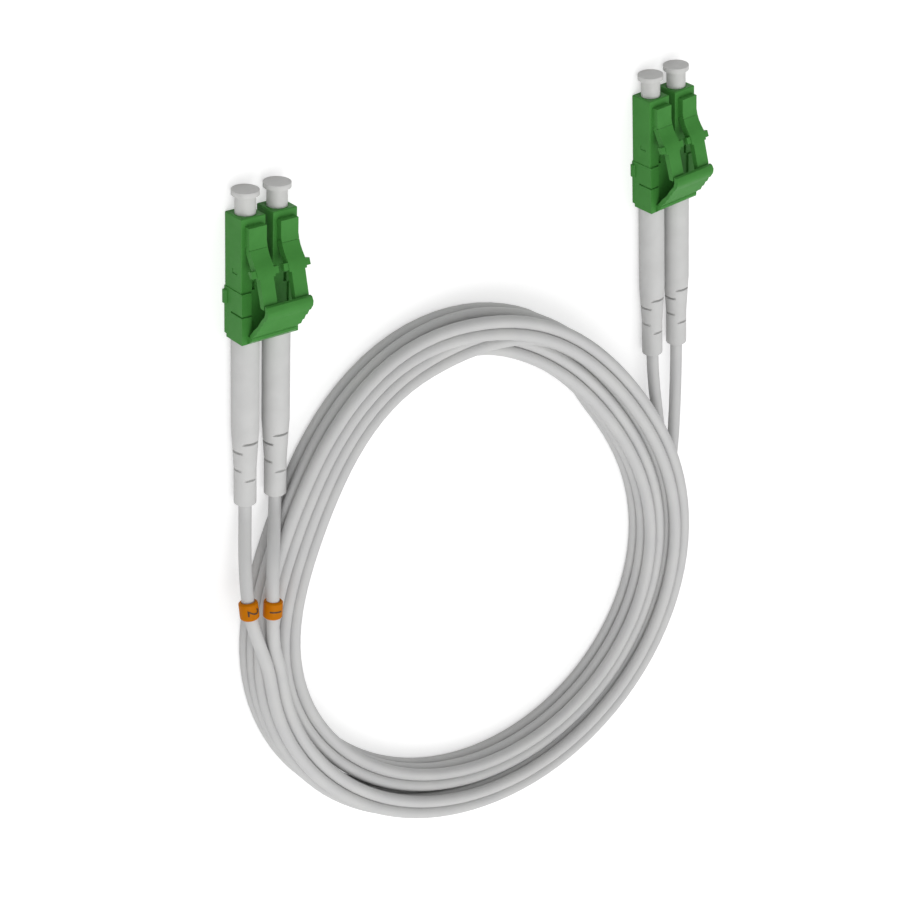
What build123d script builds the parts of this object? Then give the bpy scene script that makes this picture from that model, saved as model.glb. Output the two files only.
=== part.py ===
from build123d import *
import math
import os

os.makedirs("parts", exist_ok=True)

# Duplex fibre patch cord, all sizes in millimetres.
# Each plug is built in its end's own frame: x across the pair, y towards the
# ferrule tips with y = 0 at the housing's front face, z up from the floor.

# Placement of the two ends and of the coil on the floor
END_PLACE = {"a": (-45.059, 24.742, -2.4), "b": (43.585, 24.533, 4.0)}
COIL_X = -0.400
COIL_Y = -60.790

# Pair and plug body
PAIR_PITCH = 6.25
HOUSING_W = 4.8
HOUSING_H = 4.8
AXIS_Z = HOUSING_H / 2
HOUSING_BACK = -13.0
HOUSING_EDGE_R = 0.2
HOUSING_LEAD = 0.15
CAP_BORE_D = 3.6
CAP_SEAT_Y = -2.3
SHOULDER_Y = -3.1
NOSE_HOLE_D = 2.2
CAVITY_D = 3.3

# Latch root pad on the housing, (y, height above the housing's top)
PAD_W = 3.45
PAD = [(-1.3, -1.0), (-1.3, 1.25), (-4.0, 1.25), (-5.0, 1.5), (-5.0, -1.0)]

# Slot in the housing's top, under the latch lever
SLOT_W = 0.6
SLOT_FRONT = -11.1
SLOT_BACK = -12.7
SLOT_DEPTH = 0.5

# Keying mark in the housing's side
MARK_DEPTH = 0.15
MARK_W = 0.3
MARK_FRONT = -9.2
MARK_BACK = -10.1
MARK_LOW = 2.15
MARK_HIGH = 3.6

# Clearances between moving pieces, on the radius
SLIDE_GAP = 0.05
KNUCKLE_GAP = 0.03

# Dust cap
CAP_TUBE_D = CAP_BORE_D - 2 * SLIDE_GAP
CAP_FLANGE_D = 4.7
CAP_FLANGE_Y = 3.2
CAP_TOP_Y = 4.04
CAP_BLIND_Y = 2.9

# Ferrule, its holder and the spring
FERRULE_D = 1.25
FERRULE_TIP = 2.0
FERRULE_BACK = -4.4
FERRULE_CHAMFER = 0.2
FERRULE_ANGLE = 8.0
FIBRE_HOLE_D = 0.3
CAP_BLIND_D = FERRULE_D + 2 * SLIDE_GAP
NOSE_D = 2.0
NOSE_TIP = -2.4
FLANGE_AF = 2.76
FLANGE_BACK = -5.6
TAIL_D = 1.7
TAIL_BACK = -8.5
TAIL_BORE_D = 0.9
SPRING_WIRE_D = 0.4
SPRING_MEAN_D = 2.4
SPRING_BACK = -9.85
SPRING_TURNS = 5
SPRING_END = 0.4
SPRING_END_W = 0.55

# Rear body with its crimp neck
REAR_NOSE_D = 3.2
REAR_BORE_D = 1.9
REAR_SIDE = 4.1
REAR_BACK = -20.9
NECK_D = 2.9
NECK_BACK = -25.5
SLEEVE_D = 3.5
SLEEVE_FRONT = -21.4
SLEEVE_BACK = -26.5

# Clip
CLIP_HALF = 5.65
CLIP_BACK = -22.1
POCKET_SIDE = REAR_SIDE + 2 * SLIDE_GAP
HOLE_D = 4.05
RAIL_IN = 3.7
RAIL_TOP = HOUSING_H + 0.35
TAB_HALF = CLIP_HALF + 0.4
TAB_FRONT = -13.6
TAB_BACK = -16.0
TAB_TOP = 0.8
GROOVE_Y = -17.1
GROOVE_W = 0.35
GROOVE_DEPTH = 0.3
GROOVE_LOW = 1.9
NOTCH = 0.6
RIB_HALF = 4.5
RIB = [(CLIP_BACK, -1.0), (CLIP_BACK, 0.35), (-21.1, 1.65), (-20.6, 1.65), (-20.6, -1.0)]

# Latch lever: hinge and side outlines, (y, height above the housing's top)
LEVER_PIVOT = (-5.2, 0.6)
LEVER_KNUCKLE_R = 0.5
LEVER_TAIL_W = 2.7
EAR_HALF = 2.6
LEVER_ROOT = [(-5.04, 1.52), (-5.9, 1.88), (-6.7, 2.4), (-7.4, 3.0), (-8.2, 3.5),
              (-9.3, 3.8), (-9.3, 2.5), (-8.5, 1.95), (-7.1, 1.05), (-5.5, 0.15)]
LEVER_EARS = [(-7.9, 3.2), (-9.0, 3.6), (-9.2, 2.8), (-8.2, 2.2)]
LEVER_TAIL = [(-9.0, 3.7), (-13.4, 4.85), (-14.3, 4.95), (-14.3, 4.0),
              (-13.4, 3.75), (-9.0, 2.5)]

# Trigger: hinge, crests of its ribs, lip and inner side, (y, height as above)
TRIGGER_PIVOT = (-20.4, 1.32)
TRIGGER_KNUCKLE_R = 0.34
TRIGGER_HALF = 4.5
TRIGGER_RIBS = [(-19.6, 2.8), (-18.5, 3.65), (-17.3, 4.55), (-16.1, 5.45)]
TRIGGER_RIB_STEP = 0.28
TRIGGER_LIP = [(-15.1, 6.1), (-14.3, 6.2), (-13.6, 5.8), (-13.5, 5.25)]
TRIGGER_INNER = [(-14.5, 5.35), (-15.4, 5.1), (-16.4, 4.2), (-17.8, 3.25),
                 (-18.8, 2.2), (-20.2, 1.05)]
TRIGGER_ROOT_TOP = (-20.55, 1.62)

# Boot
BOOT_NECK_D = HOLE_D - 2 * SLIDE_GAP
BOOT_D = HOUSING_H
BOOT_STRAIGHT = -38.9
BOOT_TAPER = -46.6
BOOT_TIP_D = 3.9
BOOT_END = -53.33
BOOT_CHAMFER = 0.2
BOOT_MOUTH_D = 2.9
BOOT_MOUTH_L = 3.0
BOOT_CAVITY_END = -26.8
SLIT_W = 0.45
SLIT_FLOOR = 1.5
SLITS = [(-41.2, True), (-43.0, False), (-46.5, False), (-48.3, True)]

# Cable, coil and marker rings
CABLE_D = 2.3
BOOT_BORE_D = CABLE_D + 2 * SLIDE_GAP
COIL_OUT_R = 52.65
COIL_COLUMNS = 4
COIL_LAYERS = 3
TOP_COLUMNS = 2
TOP_FROM = 180.0
TOP_SWEEP = 325.0
TAIL_BEND = {"a": -55.5, "b": -59.0}
RING_D = 3.4
RING_L = 3.3
RING_EDGE = 0.3
RING_AT = {"2": 46.7, "1": 48.2}

PLUG_X = {("a", "2"): -PAIR_PITCH / 2, ("a", "1"): PAIR_PITCH / 2,
          ("b", "1"): -PAIR_PITCH / 2, ("b", "2"): PAIR_PITCH / 2}
AWAY = 1.0


def turned(points, x=0.0):
    """A solid of revolution about a plug's axis from (radius, y) points."""
    face = make_face(Polyline(*points, close=True))
    return Pos(x, 0, AXIS_Z) * revolve(face, axis=Axis.Y)


def rod(diameter, y0, y1, x=0.0):
    """A plain round bar along the plug's axis."""
    radius = diameter / 2
    return turned([(0, y0), (radius, y0), (radius, y1), (0, y1)], x)


def block(x0, x1, y0, y1, z0, z1):
    """A box given by its six faces."""
    centre = Pos((x0 + x1) / 2, (y0 + y1) / 2, (z0 + z1) / 2)
    return centre * Box(x1 - x0, y1 - y0, z1 - z0)


def side_plate(points, half, x=0.0):
    """A plate, half wide to each side of x, with an outline above the housing's top."""
    face = make_face(Plane.YZ * Polyline(*points, close=True))
    return Pos(x, 0, HOUSING_H) * extrude(face, amount=half, dir=(1, 0, 0), both=True)


def cross_pin(pivot, radius, half, x=0.0):
    """A round bar across the pair, centred on a hinge."""
    bar = Rot(0, 90, 0) * Cylinder(radius, 2 * half)
    return Pos(x, pivot[0], HOUSING_H + pivot[1]) * bar


def end_place(end):
    """The placement of one end on the floor."""
    x, y, yaw = END_PLACE[end]
    return Pos(x, y, 0) * Rot(0, 0, yaw)


def make_housing(x):
    half_w = HOUSING_W / 2
    body = block(x - half_w, x + half_w, HOUSING_BACK, 0, 0, HOUSING_H)
    body = fillet(body.edges().filter_by(Axis.Y), HOUSING_EDGE_R)
    body = chamfer(body.edges().group_by(Axis.Y)[-1], HOUSING_LEAD)
    body += side_plate(PAD, PAD_W / 2, x)
    body -= block(x - SLOT_W / 2, x + SLOT_W / 2, SLOT_BACK, SLOT_FRONT,
                  HOUSING_H - SLOT_DEPTH, HOUSING_H + AWAY)
    body -= rod(CAP_BORE_D, CAP_SEAT_Y, AWAY, x)
    body -= rod(NOSE_HOLE_D, SHOULDER_Y - AWAY, CAP_SEAT_Y + AWAY, x)
    body -= rod(CAVITY_D, HOUSING_BACK - AWAY, SHOULDER_Y, x)
    body -= cross_pin(LEVER_PIVOT, LEVER_KNUCKLE_R + KNUCKLE_GAP, HOUSING_W, x)
    outer = x + math.copysign(half_w, x)
    for y0, y1, z0, z1 in [(MARK_BACK, MARK_FRONT, MARK_LOW, MARK_LOW + MARK_W),
                           (MARK_BACK, MARK_BACK + MARK_W, MARK_LOW, MARK_HIGH)]:
        body -= block(outer - MARK_DEPTH, outer + MARK_DEPTH, y0, y1, z0, z1)
    return body


def make_lever(x):
    lever = side_plate(LEVER_ROOT, PAD_W / 2, x)
    lever += side_plate(LEVER_EARS, EAR_HALF, x)
    lever += side_plate(LEVER_TAIL, LEVER_TAIL_W / 2, x)
    lever += cross_pin(LEVER_PIVOT, LEVER_KNUCKLE_R, PAD_W / 2, x)
    return lever


def make_cap(x):
    tube = CAP_TUBE_D / 2
    flange = CAP_FLANGE_D / 2
    blind = CAP_BLIND_D / 2
    return turned([(blind, CAP_SEAT_Y), (tube, CAP_SEAT_Y), (tube, CAP_FLANGE_Y),
                   (flange, CAP_FLANGE_Y), (flange, CAP_TOP_Y), (0, CAP_TOP_Y),
                   (0, CAP_BLIND_Y), (blind, CAP_BLIND_Y)], x)


def make_ferrule(x):
    bore = FIBRE_HOLE_D / 2
    outer = FERRULE_D / 2
    bar = turned([(bore, FERRULE_BACK), (outer, FERRULE_BACK),
                  (outer, FERRULE_TIP - FERRULE_CHAMFER),
                  (outer - FERRULE_CHAMFER, FERRULE_TIP), (bore, FERRULE_TIP)], x)
    wedge = Rot(-FERRULE_ANGLE, 0, 0) * block(-outer, outer, 0, AWAY, -AWAY, AWAY)
    return bar - Pos(x, FERRULE_TIP - math.tan(math.radians(FERRULE_ANGLE)) * outer / 2, AXIS_Z) * wedge


def make_holder(x):
    outline = RegularPolygon(FLANGE_AF / 2, 6, major_radius=False)
    flange = Rot(90, 0, 0) * extrude(outline, amount=SHOULDER_Y - FLANGE_BACK)
    holder = Pos(x, SHOULDER_Y, AXIS_Z) * flange
    holder += rod(NOSE_D, SHOULDER_Y - AWAY, NOSE_TIP, x)
    holder += rod(TAIL_D, TAIL_BACK, FLANGE_BACK + AWAY, x)
    holder -= rod(FERRULE_D, FERRULE_BACK, AWAY, x)
    holder -= rod(TAIL_BORE_D, TAIL_BACK - AWAY, FERRULE_BACK + AWAY, x)
    return holder


def make_spring(x):
    outer = (SPRING_MEAN_D + SPRING_END_W) / 2
    inner = (SPRING_MEAN_D - SPRING_END_W) / 2
    front = turned([(inner, FLANGE_BACK - SPRING_END), (outer, FLANGE_BACK - SPRING_END),
                    (outer, FLANGE_BACK), (inner, FLANGE_BACK)], x)
    back = turned([(inner, SPRING_BACK), (outer, SPRING_BACK),
                   (outer, SPRING_BACK + SPRING_END), (inner, SPRING_BACK + SPRING_END)], x)
    height = FLANGE_BACK - SPRING_BACK - SPRING_END
    line = Helix(pitch=height / SPRING_TURNS, height=height, radius=SPRING_MEAN_D / 2)
    start = Plane(line @ 0, z_dir=line % 0)
    wire = sweep(start * Circle(SPRING_WIRE_D / 2), path=line)
    wire = Pos(x, SPRING_BACK + SPRING_END / 2, AXIS_Z) * Rot(-90, 0, 0) * wire
    return wire + front + back


def make_rear(x):
    side = REAR_SIDE / 2
    body = block(x - side, x + side, REAR_BACK, HOUSING_BACK, AXIS_Z - side, AXIS_Z + side)
    body += rod(REAR_NOSE_D, HOUSING_BACK - AWAY, SPRING_BACK, x)
    body += rod(NECK_D, NECK_BACK, REAR_BACK + AWAY, x)
    return body - rod(REAR_BORE_D, NECK_BACK - AWAY, AWAY, x)


def make_sleeve(x):
    return turned([(NECK_D / 2, SLEEVE_BACK), (SLEEVE_D / 2, SLEEVE_BACK),
                   (SLEEVE_D / 2, SLEEVE_FRONT), (NECK_D / 2, SLEEVE_FRONT)], x)


def make_boot(x):
    bore = BOOT_BORE_D / 2
    tip = BOOT_TIP_D / 2
    boot = turned([(SLEEVE_D / 2, REAR_BACK), (BOOT_NECK_D / 2, REAR_BACK),
                   (BOOT_NECK_D / 2, CLIP_BACK), (BOOT_D / 2, CLIP_BACK),
                   (BOOT_D / 2, BOOT_STRAIGHT), (tip, BOOT_TAPER),
                   (tip, BOOT_END + BOOT_CHAMFER), (tip - BOOT_CHAMFER, BOOT_END),
                   (BOOT_MOUTH_D / 2, BOOT_END), (bore, BOOT_END + BOOT_MOUTH_L),
                   (bore, BOOT_CAVITY_END), (SLEEVE_D / 2, BOOT_CAVITY_END)], x)
    for y, upright in SLITS:
        for side in (-1, 1):
            slit = Pos(side * (SLIT_FLOOR + BOOT_D / 2), 0, 0) * Box(BOOT_D, SLIT_W, BOOT_D)
            turn = 90 if upright else 0
            boot -= Pos(x, y, AXIS_Z) * Rot(0, turn, 0) * slit
    return boot


def make_clip():
    clip = block(-CLIP_HALF, CLIP_HALF, CLIP_BACK, HOUSING_BACK, 0, HOUSING_H)
    for side in (-1, 1):
        inner, outer, tab = (side * v for v in (RAIL_IN, CLIP_HALF, TAB_HALF))
        clip += block(min(inner, outer), max(inner, outer), CLIP_BACK, HOUSING_BACK,
                      HOUSING_H / 2, RAIL_TOP)
        clip += block(min(0, tab), max(0, tab), TAB_BACK, TAB_FRONT, 0, TAB_TOP)
    clip += side_plate(RIB, RIB_HALF)
    clip -= cross_pin(TRIGGER_PIVOT, TRIGGER_KNUCKLE_R + KNUCKLE_GAP, CLIP_HALF)
    for side in (-1, 1):
        face = side * CLIP_HALF
        lip = side * (CLIP_HALF - GROOVE_DEPTH)
        clip -= block(min(lip, 2 * face), max(lip, 2 * face), GROOVE_Y - GROOVE_W / 2,
                      GROOVE_Y + GROOVE_W / 2, GROOVE_LOW, RAIL_TOP + AWAY)
        clip -= block(min(side * RAIL_IN, face), max(side * RAIL_IN, face),
                      GROOVE_Y - GROOVE_W / 2, GROOVE_Y + GROOVE_W / 2,
                      RAIL_TOP - GROOVE_DEPTH, RAIL_TOP + AWAY)
        corner = side * (CLIP_HALF - NOTCH)
        clip -= block(min(corner, 2 * face), max(corner, 2 * face), CLIP_BACK - AWAY,
                      CLIP_BACK + NOTCH, -AWAY, NOTCH)
    half = POCKET_SIDE / 2
    for x in (-PAIR_PITCH / 2, PAIR_PITCH / 2):
        clip -= block(x - half, x + half, REAR_BACK, HOUSING_BACK + AWAY,
                      AXIS_Z - half, AXIS_Z + half)
        clip -= rod(HOLE_D, CLIP_BACK - AWAY, REAR_BACK + AWAY, x)
    return clip


def make_trigger():
    outline = [TRIGGER_ROOT_TOP]
    for y, z in TRIGGER_RIBS:
        outline.append((y, z - TRIGGER_RIB_STEP))
        outline.append((y, z))
    outline += TRIGGER_LIP + TRIGGER_INNER
    trigger = side_plate(outline, TRIGGER_HALF)
    return trigger + cross_pin(TRIGGER_PIVOT, TRIGGER_KNUCKLE_R, TRIGGER_HALF)


def fillet_radii(points):
    """One bend radius for each inner corner of a route."""
    radii = []
    for p, q, r in zip(points, points[1:], points[2:]):
        a, b = Vector(*q) - Vector(*p), Vector(*r) - Vector(*q)
        turn = math.radians(a.get_angle(b))
        radii.append(0.45 * min(a.length, b.length) / math.tan(turn / 2))
    return radii


def make_tail(points, name):
    """A round cable along a route, with its bend radii printed."""
    radii = fillet_radii(points)
    path = FilletPolyline(*points, radius=radii)
    start = Plane(path @ 0, z_dir=path % 0)
    tube = sweep(start * Circle(CABLE_D / 2), path=path)
    share = tube.volume / (path.length * math.pi * CABLE_D ** 2 / 4)
    print(name, "length", round(path.length, 1), "volume share", round(share, 4),
          "radii", [round(r, 1) for r in radii])
    return tube, path


def on_end(end, cable, y):
    """A point on one plug's axis, given on the floor."""
    ex, ey, yaw = END_PLACE[end]
    x = PLUG_X[end, cable]
    c, s = math.cos(math.radians(yaw)), math.sin(math.radians(yaw))
    return (ex + c * x - s * y, ey + s * x + c * y, AXIS_Z)


def on_coil(x, y, above):
    """A point from the coil's centre, its height from the axis of the top layer."""
    return (COIL_X + x, COIL_Y + y, CABLE_D * (COIL_LAYERS + 0.5) + above)


strand = [COIL_OUT_R - CABLE_D * (n + 0.5) for n in range(COIL_COLUMNS)]

# Routes of the four tails, from inside the boot to where each joins the coil
ROUTES = {
    ("a", "2"): [on_end("a", "2", NECK_BACK), on_end("a", "2", TAIL_BEND["a"]),
                 on_coil(-52.5, 22.5, -2.05), on_coil(-54.2, 14.0, 0.35),
                 on_coil(-51.9, 6.0, 0.1), on_coil(-strand[0], 0.0, 0.0)],
    ("a", "1"): [on_end("a", "1", NECK_BACK), on_end("a", "1", TAIL_BEND["a"]),
                 on_coil(-47.3, 22.5, -0.45), on_coil(-49.9, 13.5, 1.35),
                 on_coil(-49.3, 5.5, 0.25), on_coil(-strand[1], 0.0, 0.0)],
    ("b", "1"): [on_end("b", "1", NECK_BACK), on_end("b", "1", TAIL_BEND["b"]),
                 on_coil(48.6, 12.0, -2 * CABLE_D)],
    ("b", "2"): [on_end("b", "2", NECK_BACK), on_end("b", "2", TAIL_BEND["b"]),
                 on_coil(51.6, 8.0, -2 * CABLE_D)],
}


def make_coil():
    width = COIL_COLUMNS * CABLE_D
    height = COIL_LAYERS * CABLE_D
    section = Pos(COIL_OUT_R - width / 2, height / 2) * RectangleRounded(width, height, CABLE_D / 2)
    body = revolve(Plane.XZ * section, axis=Axis.Z)
    top_w = TOP_COLUMNS * CABLE_D
    middle = COIL_OUT_R - top_w / 2
    top = Pos(middle, height) * RectangleRounded(top_w, 2 * CABLE_D, CABLE_D / 2)
    top += Pos(middle, height * 3 / 4) * Rectangle(top_w, height / 2)
    ridge = revolve(Plane.XZ * top, axis=Axis.Z, revolution_arc=TOP_SWEEP)
    return Pos(COIL_X, COIL_Y, 0) * (body + Rot(0, 0, TOP_FROM) * ridge)


def make_ring(path, along):
    place = Plane(path.position_at(along / path.length), z_dir=path.tangent_at(along / path.length))
    bush = Cylinder(RING_D / 2, RING_L) - Cylinder(CABLE_D / 2, 2 * RING_L)
    bush = chamfer(bush.edges().filter_by(GeomType.CIRCLE).sort_by(SortBy.RADIUS)[-2:], RING_EDGE)
    return place.location * bush


nodes = {}
makers = {"housing": make_housing, "latch_lever": make_lever, "dust_cap": make_cap,
          "ferrule": make_ferrule, "ferrule_holder": make_holder, "spring": make_spring,
          "rear_body": make_rear, "crimp_sleeve": make_sleeve, "boot": make_boot}
for end in END_PLACE:
    nodes["clip_" + end] = end_place(end) * make_clip()
    nodes["trigger_" + end] = end_place(end) * make_trigger()
for (end, cable), x in PLUG_X.items():
    for piece, maker in makers.items():
        nodes[piece + "_" + end + cable] = end_place(end) * maker(x)

for (end, cable), route in ROUTES.items():
    tail, path = make_tail(route, "tail_" + end + cable)
    nodes["tail_" + end + cable] = tail
    if end == "a":
        nodes["ring_" + cable] = make_ring(path, RING_AT[cable])
nodes["coil"] = make_coil()

for name, shape in nodes.items():
    solids = shape.solids()
    if len(solids) != 1:
        print("CHECK", name, "has", len(solids), "solids")
    export_step(solids[0] if len(solids) == 1 else shape, "parts/" + name + ".step")

everything = [shape.bounding_box() for name, shape in nodes.items()
              if not name.startswith(("tail", "ring", "coil"))]
print("plugs x", round(min(b.min.X for b in everything), 3), round(max(b.max.X for b in everything), 3),
      "y", round(min(b.min.Y for b in everything), 3), round(max(b.max.Y for b in everything), 3),
      "z", round(min(b.min.Z for b in everything), 3), round(max(b.max.Z for b in everything), 3))
for n in nodes:
    print(n, round(nodes[n].volume, 2))
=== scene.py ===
# %% [markdown]
# # A coiled duplex fibre patch cord
# The rigid pieces come from the CAD frame, which keeps their real sizes. This script
# adds the two cables as smooth splines, gives every piece a material, prints the
# digits on the marker rings, and sets up the camera, floor and light.

# %% Imports and the frame
import math

import bmesh
import bpy
from mathutils import Matrix, Vector


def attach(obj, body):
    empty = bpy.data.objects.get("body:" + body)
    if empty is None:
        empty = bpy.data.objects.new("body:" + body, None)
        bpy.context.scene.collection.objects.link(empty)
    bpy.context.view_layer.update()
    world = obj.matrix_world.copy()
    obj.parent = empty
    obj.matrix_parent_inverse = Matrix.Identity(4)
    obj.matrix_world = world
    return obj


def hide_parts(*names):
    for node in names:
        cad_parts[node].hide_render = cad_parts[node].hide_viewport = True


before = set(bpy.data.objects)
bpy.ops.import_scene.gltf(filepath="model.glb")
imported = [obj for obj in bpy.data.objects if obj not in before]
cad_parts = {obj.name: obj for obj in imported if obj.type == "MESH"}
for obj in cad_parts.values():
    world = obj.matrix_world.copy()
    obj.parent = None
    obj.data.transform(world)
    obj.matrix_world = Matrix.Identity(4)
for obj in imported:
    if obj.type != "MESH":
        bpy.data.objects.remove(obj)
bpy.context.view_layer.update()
MM = 0.001

# %% Sizes shared with the CAD model
# These repeat the driving values of the CAD source, in millimetres.
END_PLACE = {"a": (-45.059, 24.742, -2.4), "b": (43.585, 24.533, 4.0)}
COIL_CENTRE = Vector((-0.400, -60.790, 0.0))
AXIS_Z = 2.4
PAIR_PITCH = 6.25
CABLE_D = 2.3
COIL_OUT_R = 52.65
PLUG_X = {"a2": -PAIR_PITCH / 2, "a1": PAIR_PITCH / 2, "b1": -PAIR_PITCH / 2, "b2": PAIR_PITCH / 2}
NECK_BACK = -25.5
RING_D = 3.4

# %% [markdown]
# ## Camera
# The camera stands where the photograph was taken from: high on the marked end's
# side. A long lens keeps the perspective gentle, as in a product picture.

# %% Camera
CAMERA_PLACE = Vector((-251.70, 184.74, 309.32))
CAMERA_BACK = Vector((-0.54717, 0.48504, 0.68215)).normalized()
CAMERA_RIGHT = Vector((0.78212, 0.00599, 0.62310)).normalized()
LENS_MM = 98.79

camera_up = CAMERA_BACK.cross(CAMERA_RIGHT)
turn = Matrix((CAMERA_RIGHT, camera_up, CAMERA_BACK)).transposed()
lens = bpy.data.cameras.new("camera")
lens.lens = LENS_MM
lens.clip_start = 10 * MM
camera = bpy.data.objects.new("camera", lens)
camera.matrix_world = Matrix.Translation(CAMERA_PLACE * MM) @ turn.to_4x4()
bpy.context.scene.collection.objects.link(camera)
bpy.context.scene.camera = camera

# %% [markdown]
# ## Cables
# Both cables run side by side. They come out of the marked end's boots, climb onto
# the coil and wind inwards and down in six and a half turns, then leave it low on
# the other side. Each cable is one spline, and a loop makes the points of its turns.

# %% The coil's turns
TURN_POINTS = 36
FIRST_DEG = 180
LAST_DEG = 2520
# Each slot is a column ("out" or "in") and a layer counted from the floor. A pair of
# cables moves from one slot to the next over a short arc: start and width in degrees.
SLOTS = [("out", 3), ("out", 2), ("in", 2), ("in", 1), ("in", 0), ("out", 0), ("out", 1)]
MOVES = [(444, 26), (783, 40), (1136, 26), (1496, 26), (1839, 34), (2192, 24)]
# How far each cable lies outside the coil's middle line, in the two columns.
COLUMN = {"out": {"2": 1.5 * CABLE_D, "1": 0.5 * CABLE_D},
          "in": {"2": -0.5 * CABLE_D, "1": -1.5 * CABLE_D}}
TOP_LAYER = 3
LAYER = [CABLE_D * (n + 0.5) for n in range(TOP_LAYER + 1)]
# Loose turns aren't a true circle: the middle line is a little oval, drawn out at one
# end, and pressed in past the marked end's boots. Each pair is a size and a direction.
TURNS_CENTRE = Vector((-1.70, -59.88, 0.0))
TURNS_TIGHTER = 0.2
MIDDLE_R = COIL_OUT_R - 2 * CABLE_D - TURNS_TIGHTER
OVAL = (4.40, 127.8)
DRAWN_OUT = (0.90, -23.1)
BOOT_SIDE = (4.75, 145.5)
BOOT_SIDE_WIDE = 29.0
# The lower outer turns stand out a little on the marked end's side.
FAN_MM = 1.0
FAN_DEG = 222
FAN_POWER = 3


def ease(t):
    """A smooth step from 0 to 1."""
    t = min(1.0, max(0.0, t))
    return t * t * (3 - 2 * t)


def middle_line(degrees):
    """The middle of the turns at an angle, from their centre."""
    radius = MIDDLE_R + OVAL[0] * math.cos(math.radians(2 * (degrees - OVAL[1])))
    radius += DRAWN_OUT[0] * math.cos(math.radians(3 * (degrees - DRAWN_OUT[1])))
    from_boots = (degrees - BOOT_SIDE[1] + 180) % 360 - 180
    radius -= BOOT_SIDE[0] * math.exp(-(from_boots / BOOT_SIDE_WIDE) ** 2)
    # A spline runs inside its control points, so they stand a little further out.
    radius *= 2 / (1 + math.cos(math.pi / TURN_POINTS))
    angle = math.radians(degrees)
    return Vector((radius * math.cos(angle), radius * math.sin(angle), 0))


def slot_offset(slot, cable, degrees):
    """How far a slot lies outside the middle line: the lower outer slots fan out."""
    offset = COLUMN[slot[0]][cable]
    if slot[0] == "out" and slot[1] < TOP_LAYER:
        offset += FAN_MM * max(0.0, math.cos(math.radians(degrees - FAN_DEG))) ** FAN_POWER
    return offset


def winding_point(cable, degrees):
    """Where one cable lies at an angle along its winding."""
    offset = slot_offset(SLOTS[0], cable, degrees)
    height = LAYER[SLOTS[0][1]]
    for before, after, (start, width) in zip(SLOTS, SLOTS[1:], MOVES):
        share = ease((degrees - start) / width)
        offset += share * (slot_offset(after, cable, degrees) - slot_offset(before, cable, degrees))
        height += share * (LAYER[after[1]] - LAYER[before[1]])
    along = (middle_line(degrees + 0.5) - middle_line(degrees - 0.5)).normalized()
    out = Vector((along.y, -along.x, 0))
    return TURNS_CENTRE + middle_line(degrees) + out * offset + Vector((0, 0, height))


def on_end(plug, y):
    """A point on a plug's axis, on the floor's frame."""
    x0, y0, yaw = END_PLACE[plug[0]]
    place = Matrix.Translation((x0, y0, 0)) @ Matrix.Rotation(math.radians(yaw), 4, "Z")
    return place @ Vector((PLUG_X[plug], y, AXIS_Z))


def on_coil(x, y, above):
    """A point from the coil's centre, its height from the axis of the top layer."""
    return COIL_CENTRE + Vector((x, y, LAYER[TOP_LAYER] + above))


# %% The routes
# The CAD source's route, with one more point inside each boot. The points next to the
# turns are moved a little, because the turns here are oval.
IN_BOOT = {"a": -51.3, "b": -47.0}
TAIL_BEND = {"a": -55.5, "b": -59.0}


def from_neck(plug):
    """A route's points from a plug's crimp neck to the bend behind its boot."""
    return [on_end(plug, y) for y in (NECK_BACK, IN_BOOT[plug[0]], TAIL_BEND[plug[0]])]


ROUTES_IN = {
    "2": from_neck("a2") + [on_coil(-53.0, 22.5, -2.05), on_coil(-54.1, 14.0, 0.35),
                            on_coil(-51.7, 6.0, 0.1)],
    "1": from_neck("a1") + [on_coil(-48.5, 22.8, 0.0), on_coil(-49.8, 13.5, 1.4),
                            on_coil(-49.2, 5.5, 0.25)],
}
ROUTES_OUT = {
    "2": [on_coil(50.6, 9.0, -2 * CABLE_D)] + from_neck("b2")[::-1],
    "1": [on_coil(47.2, 12.0, -2 * CABLE_D)] + from_neck("b1")[::-1],
}
STEP = 360 / TURN_POINTS


def cable_curve(cable):
    """One cable, from boot to boot, as an open NURBS spline."""
    count = int((LAST_DEG - FIRST_DEG) / STEP)
    turns = [winding_point(cable, FIRST_DEG + STEP * n) for n in range(count + 1)]
    points = ROUTES_IN[cable] + turns + ROUTES_OUT[cable]
    curve = bpy.data.curves.new("cable_" + cable, "CURVE")
    curve.dimensions = "3D"
    spline = curve.splines.new("NURBS")
    spline.points.add(len(points) - 1)
    # The radius is set on the points, so that the curve's own box is the cable's.
    for target, point in zip(spline.points, points):
        target.co = (*(point * MM), 1.0)
        target.radius = CABLE_D / 2 * MM
    spline.order_u = 3
    spline.use_endpoint_u = True
    spline.resolution_u = 3
    curve.bevel_depth = 1.0
    curve.bevel_resolution = 5
    cord = bpy.data.objects.new("cable_" + cable, curve)
    bpy.context.scene.collection.objects.link(cord)
    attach(cord, "cord_base")
    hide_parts("coil", "tail_a" + cable, "tail_b" + cable)
    return cord


cables = {cable: cable_curve(cable) for cable in ("2", "1")}

# %% [markdown]
# ## Materials
# Colours are written as sRGB hex values, as a picture shows them. Blender works with
# linear light, so one function turns a hex value into linear numbers.


# %% Colour and node helpers
def linear(hex_colour):
    """An sRGB hex colour as linear red, green, blue and alpha."""
    out = []
    for n in (0, 2, 4):
        v = int(hex_colour[n:n + 2], 16) / 255
        out.append(v / 12.92 if v <= 0.04045 else ((v + 0.055) / 1.055) ** 2.4)
    return (*out, 1.0)


def add(tree, kind, settings=(), links=(), **inputs):
    """Adds a node, sets its properties and inputs, and links sockets into it."""
    made = tree.nodes.new(kind)
    for name, value in dict(settings).items():
        setattr(made, name, value)
    for name, value in inputs.items():
        made.inputs[name.replace("_", " ")].default_value = value
    for name, socket in dict(links).items():
        tree.links.new(socket, made.inputs[name])
    return made


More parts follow.
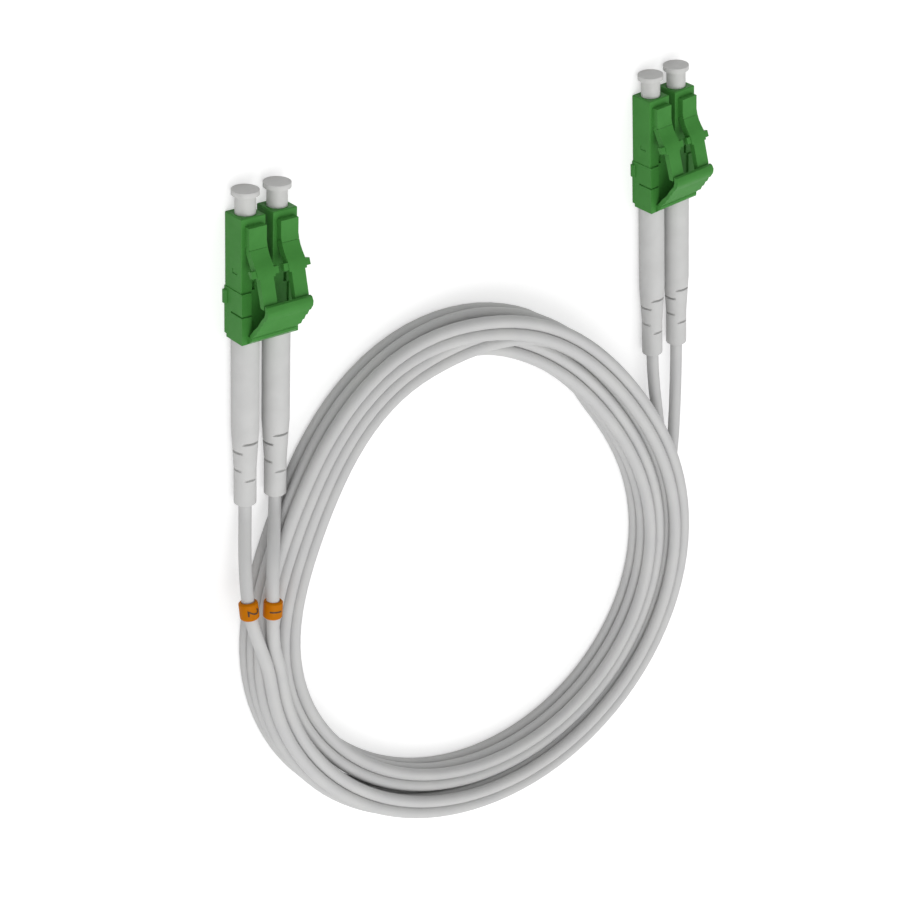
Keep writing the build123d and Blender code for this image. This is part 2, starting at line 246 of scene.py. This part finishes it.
def start(name):
    """An empty material, its node tree and its coordinates in metres."""
    material = bpy.data.materials.new(name)
    material.use_nodes = True
    tree = material.node_tree
    tree.nodes.clear()
    place = add(tree, "ShaderNodeTexCoord").outputs["Object"]
    return material, tree, place


def finish_material(tree, shader):
    """Links a shader to the material's output."""
    add(tree, "ShaderNodeOutputMaterial", links={"Surface": shader.outputs[0]})


def either_ray(tree, first, second):
    """1 for rays of the two named kinds, and 0 for all others."""
    rays = add(tree, "ShaderNodeLightPath").outputs
    return add(tree, "ShaderNodeMath", {"operation": "MAXIMUM"},
               {0: rays[first], 1: rays[second]}).outputs[0]


def per_metre(size_mm):
    """A noise scale at which one blotch is about this size."""
    return 1 / (size_mm * MM)


def mottled(tree, place, dark, light, size_mm):
    """A colour that drifts gently between two values."""
    noise = add(tree, "ShaderNodeTexNoise", links={"Vector": place},
                Scale=per_metre(size_mm), Detail=3.0)
    ramp = add(tree, "ShaderNodeValToRGB", links={"Fac": noise.outputs["Fac"]})
    ramp.color_ramp.elements[0].position = 0.35
    ramp.color_ramp.elements[1].position = 0.65
    ramp.color_ramp.elements[0].color = linear(dark)
    ramp.color_ramp.elements[1].color = linear(light)
    return ramp.outputs["Color"]


def grain(tree, place, size_mm, depth_mm):
    """The fine surface of a mould, as a bump."""
    noise = add(tree, "ShaderNodeTexNoise", links={"Vector": place},
                Scale=per_metre(size_mm), Detail=4.0, Roughness=0.6)
    bump = add(tree, "ShaderNodeBump", links={"Height": noise.outputs["Fac"]},
               Strength=0.6, Distance=depth_mm * MM)
    return bump.outputs["Normal"]


def roughness_between(tree, place, size_mm, low, high):
    """A roughness that varies a little, as handled plastic does."""
    noise = add(tree, "ShaderNodeTexNoise", links={"Vector": place},
                Scale=per_metre(size_mm), Detail=2.0)
    spread = add(tree, "ShaderNodeMapRange", links={"Value": noise.outputs["Fac"]},
                 To_Min=low, To_Max=high)
    return spread.outputs["Result"]


# %% The materials
# Moulded PBT, as connector bodies are: a satin skin from a fine spark-eroded mould.
def moulded_pbt(name, dark, light, shine=0.12):
    material, tree, place = start(name)
    shader = add(tree, "ShaderNodeBsdfPrincipled", links={
        "Base Color": mottled(tree, place, dark, light, 3.0),
        "Roughness": roughness_between(tree, place, 1.2, 0.34, 0.5),
        "Normal": grain(tree, place, 0.12, 0.002)}, IOR=1.5, Specular_IOR_Level=shine)
    finish_material(tree, shader)
    return material


# Milky polyethylene for the dust caps: light goes a little way in.
def moulded_polyethylene(name):
    material, tree, place = start(name)
    shader = add(tree, "ShaderNodeBsdfPrincipled", links={
        "Base Color": mottled(tree, place, "CECECC", "D4D4D2", 2.0),
        "Roughness": roughness_between(tree, place, 0.8, 0.42, 0.6),
        "Normal": grain(tree, place, 0.2, 0.003)}, IOR=1.51,
        Subsurface_Weight=0.25, Subsurface_Radius=(1.0, 1.0, 1.0), Subsurface_Scale=0.5 * MM)
    finish_material(tree, shader)
    return material


# Soft thermoplastic rubber, moulded with a dull texture, for the boots.
def moulded_elastomer(name):
    material, tree, place = start(name)
    shader = add(tree, "ShaderNodeBsdfPrincipled", links={
        "Base Color": mottled(tree, place, "CDCDCC", "D2D2D1", 4.0),
        "Roughness": roughness_between(tree, place, 0.9, 0.55, 0.72),
        "Normal": grain(tree, place, 0.14, 0.002)}, IOR=1.5)
    finish_material(tree, shader)
    return material


# Extruded jacket compound: matt, with the faint unevenness of an extruded skin.
def extruded_jacket(name):
    material, tree, place = start(name)
    shader = add(tree, "ShaderNodeBsdfPrincipled", links={
        "Base Color": mottled(tree, place, "CACACA", "CECECD", 6.0),
        "Roughness": roughness_between(tree, place, 1.5, 0.45, 0.62),
        "Normal": grain(tree, place, 0.3, 0.002)}, IOR=1.5)
    finish_material(tree, shader)
    return material


# Ground and polished zirconia: dense, white and glossy.
def polished_zirconia(name):
    material, tree, place = start(name)
    shader = add(tree, "ShaderNodeBsdfPrincipled", links={
        "Base Color": mottled(tree, place, "EDECE6", "F2F1EC", 1.0)}, IOR=2.1, Roughness=0.12)
    finish_material(tree, shader)
    return material


# Turned stainless steel with tool rings round the axis. A wave texture repeats every
# 2 pi / 20 of its unit, so the rings are 0.63 mm apart.
def turned_steel(name):
    material, tree, place = start(name)
    wave = add(tree, "ShaderNodeTexWave", {"wave_type": "BANDS", "bands_direction": "Y"},
               {"Vector": place}, Scale=per_metre(0.1) / 20, Distortion=0.2)
    bump = add(tree, "ShaderNodeBump", links={"Height": wave.outputs["Fac"]},
               Strength=0.3, Distance=0.003 * MM)
    shader = add(tree, "ShaderNodeBsdfPrincipled", links={"Normal": bump.outputs["Normal"]},
                 Base_Color=linear("B9B8B4"), Metallic=1.0, Roughness=0.32)
    finish_material(tree, shader)
    return material


# Dark printing ink on the rings.
def printing_ink(name):
    material, tree, place = start(name)
    shader = add(tree, "ShaderNodeBsdfPrincipled", links={
        "Base Color": mottled(tree, place, "3A2408", "4A300E", 0.4)}, Roughness=0.5)
    finish_material(tree, shader)
    return material


GREEN = moulded_pbt("moulded_green_pbt", "448A3C", "488F40")
ORANGE = moulded_pbt("moulded_orange_abs", "C47204", "CA7806", 0.05)
PALE = moulded_pbt("moulded_pale_pbt", "BEBEBA", "C8C8C4")
CAP = moulded_polyethylene("moulded_milky_polyethylene")
BOOT = moulded_elastomer("moulded_grey_elastomer")
JACKET = extruded_jacket("extruded_grey_jacket")
ZIRCONIA = polished_zirconia("polished_zirconia")
STEEL = turned_steel("turned_stainless_steel")
INK = printing_ink("brown_printing_ink")

for cord in cables.values():
    cord.data.materials.append(JACKET)

# %% [markdown]
# ## The CAD pieces
# Each CAD node keeps its mesh. Three modifiers give it the soft edges of a moulded
# piece: Weld joins the split corners, Bevel rounds the sharp edges, and Weighted
# Normal keeps the flat faces looking flat.

# %% Finishing the CAD pieces
LOOKS = {"clip": (GREEN, 0.12), "trigger": (GREEN, 0.1), "housing": (GREEN, 0.1),
         "latch_lever": (GREEN, 0.1), "dust_cap": (CAP, 0.12), "ferrule_holder": (STEEL, 0.05),
         "ferrule": (ZIRCONIA, 0.03), "spring": (STEEL, 0), "rear_body": (PALE, 0.06),
         "crimp_sleeve": (STEEL, 0.05), "boot": (BOOT, 0.1), "ring": (ORANGE, 0.08)}


def finish_node(node, material, edge_mm):
    """A material and rounded edges for one CAD node."""
    node.data.materials.clear()
    node.data.materials.append(material)
    if not edge_mm:
        return
    weld = node.modifiers.new("weld", "WELD")
    weld.merge_threshold = 0.002 * MM
    bevel = node.modifiers.new("bevel", "BEVEL")
    bevel.width = edge_mm * MM
    bevel.segments = 2
    bevel.limit_method = "ANGLE"
    bevel.angle_limit = math.radians(40)
    bevel.harden_normals = False
    normals = node.modifiers.new("normals", "WEIGHTED_NORMAL")
    normals.keep_sharp = False


for name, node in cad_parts.items():
    kind = name.rsplit("_", 1)[0]
    if kind in LOOKS:
        finish_node(node, *LOOKS[kind])

# %% [markdown]
# ## Digits on the rings
# A digit is made as text, turned into a mesh, cut into small faces, and then wrapped
# round the ring: across the digit becomes along the cable, and its height becomes an
# angle round the ring.

# %% Digits
DIGIT_H = 2.4
DIGIT_OUT = 0.03
INK_THICK = 0.06
FONT_PER_HEIGHT = 1.35
DIGIT_WIDE = 0.8
DIGIT_TURN = {"2": 28.0, "1": 20.0}
# A ring's face belongs to its round walls from this share of the largest face's area.
WALL_SHARE = 0.6


def digit_mesh(text, height_mm):
    """Flat text as a mesh, centred, with many small faces."""
    font = bpy.data.curves.new("digit", "FONT")
    font.body = text
    font.size = height_mm * MM * FONT_PER_HEIGHT
    font.align_x = "CENTER"
    font.align_y = "CENTER"
    source = bpy.data.objects.new("digit_source", font)
    bpy.context.scene.collection.objects.link(source)
    bpy.context.view_layer.update()
    mesh = bpy.data.meshes.new_from_object(source)
    bpy.data.objects.remove(source)
    work = bmesh.new()
    work.from_mesh(mesh)
    bmesh.ops.triangulate(work, faces=work.faces)
    bmesh.ops.subdivide_edges(work, edges=work.edges, cuts=3, use_grid_fill=True)
    work.to_mesh(mesh)
    work.free()
    return mesh


def ring_frame(node):
    """A ring's middle and the direction of its axis, from its own mesh."""
    faces = node.data.polygons
    area = sum(f.area for f in faces)
    middle = sum((f.center * f.area for f in faces), Vector()) / area
    # The strips of the round walls all run along the axis.
    largest = max(f.area for f in faces)
    walls = [f.normal for f in faces if f.area > WALL_SHARE * largest]
    first = walls[0]
    second = min(walls, key=lambda n: abs(n.dot(first)))
    axis = first.cross(second).normalized()
    if axis.y > 0:
        axis.negate()
    return middle, axis


def wrap_digit(cable):
    """The ring's number, wrapped on the side that faces the camera."""
    middle, axis = ring_frame(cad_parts["ring_" + cable])
    out = CAMERA_BACK - axis * CAMERA_BACK.dot(axis)
    out.normalize()
    across = out.cross(axis)
    turn = math.radians(DIGIT_TURN[cable])
    mesh = digit_mesh(cable, DIGIT_H)
    radius = (RING_D / 2 + DIGIT_OUT) * MM
    for v in mesh.vertices:
        angle = turn + v.co.y / radius
        outwards = out * math.cos(angle) + across * math.sin(angle)
        v.co = middle + axis * v.co.x * DIGIT_WIDE + outwards * radius
    mesh.materials.append(INK)
    digit = bpy.data.objects.new("digit_" + cable, mesh)
    bpy.context.scene.collection.objects.link(digit)
    thick = digit.modifiers.new("thick", "SOLIDIFY")
    thick.thickness = INK_THICK * MM
    thick.offset = 0
    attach(digit, "cord_base")


for cable in ("2", "1"):
    wrap_digit(cable)

# %% [markdown]
# ## Floor, world and light
# A pale floor takes a soft shadow. The camera sees a white surround, and the lamps
# stay low enough that every colour renders about as it is written.

# %% Floor
FLOOR_HALF = 1.5
FLOOR_Z = -0.02 * MM
FLOOR_GLOW = 0.5
corners = [(x * FLOOR_HALF, y * FLOOR_HALF, FLOOR_Z) for x, y in ((-1, -1), (1, -1), (1, 1), (-1, 1))]
floor_mesh = bpy.data.meshes.new("floor")
floor_mesh.from_pydata(corners, [], [(0, 1, 2, 3)])
floor = bpy.data.objects.new("floor", floor_mesh)
bpy.context.scene.collection.objects.link(floor)
paper, tree, _ = start("white_paper_floor")
seen = either_ray(tree, "Is Camera Ray", "Is Glossy Ray")
lift = add(tree, "ShaderNodeMath", {"operation": "MULTIPLY"}, {0: seen})
lift.inputs[1].default_value = FLOOR_GLOW
glow = add(tree, "ShaderNodeEmission", links={"Strength": lift.outputs[0]}, Color=linear("FFFFFF"))
diffuse = add(tree, "ShaderNodeBsdfDiffuse", Color=linear("D8D8D8"))
both = add(tree, "ShaderNodeAddShader", links={0: glow.outputs[0], 1: diffuse.outputs[0]})
finish_material(tree, both)
floor_mesh.materials.append(paper)

# %% World
# The dome that lights the cord is brighter overhead and on the coil's side, so faces
# turned towards the ferrule tips stay darker, as in the photograph.
BRIGHT_SIDE = Vector((-0.25, -0.60, 0.76)).normalized()
DOME_LOW = 0.02
DOME_HIGH = 0.94
world = bpy.data.worlds.new("white_surround")
world.use_nodes = True
bpy.context.scene.world = world
tree = world.node_tree
tree.nodes.clear()
seen = either_ray(tree, "Is Camera Ray", "Is Transmission Ray")
place = add(tree, "ShaderNodeTexCoord").outputs["Generated"]
overhead = add(tree, "ShaderNodeVectorMath", {"operation": "DOT_PRODUCT"}, {0: place})
overhead.inputs[1].default_value = BRIGHT_SIDE
level = add(tree, "ShaderNodeMapRange", links={"Value": overhead.outputs["Value"]},
            From_Min=-1.0, From_Max=1.0, To_Min=DOME_LOW, To_Max=DOME_HIGH)
ambient = add(tree, "ShaderNodeBackground", links={"Strength": level.outputs["Result"]},
              Color=linear("FFFFFF"))
white = add(tree, "ShaderNodeBackground", Color=linear("FFFFFF"), Strength=1.0)
mix = add(tree, "ShaderNodeMixShader",
          links={"Fac": seen, 1: ambient.outputs[0], 2: white.outputs[0]})
add(tree, "ShaderNodeOutputWorld", links={"Surface": mix.outputs[0]})

# %% Lamps
MIDDLE_OF_CORD = COIL_CENTRE * 0.5


def lamp(name, place_mm, size_mm, watts):
    """A square soft box that points at the middle of the whole cord."""
    data = bpy.data.lights.new(name, "AREA")
    data.size = size_mm * MM
    data.energy = watts
    light = bpy.data.objects.new(name, data)
    light.location = Vector(place_mm) * MM
    aim = MIDDLE_OF_CORD * MM - light.location
    light.rotation_euler = aim.to_track_quat("-Z", "Y").to_euler()
    bpy.context.scene.collection.objects.link(light)


lamp("key_soft_box", (-350, -250, 900), 400, 1.9)
lamp("fill_soft_box", (450, -250, 700), 600, 0.65)

bpy.context.scene.view_settings.view_transform = "Standard"
bpy.context.view_layer.update()
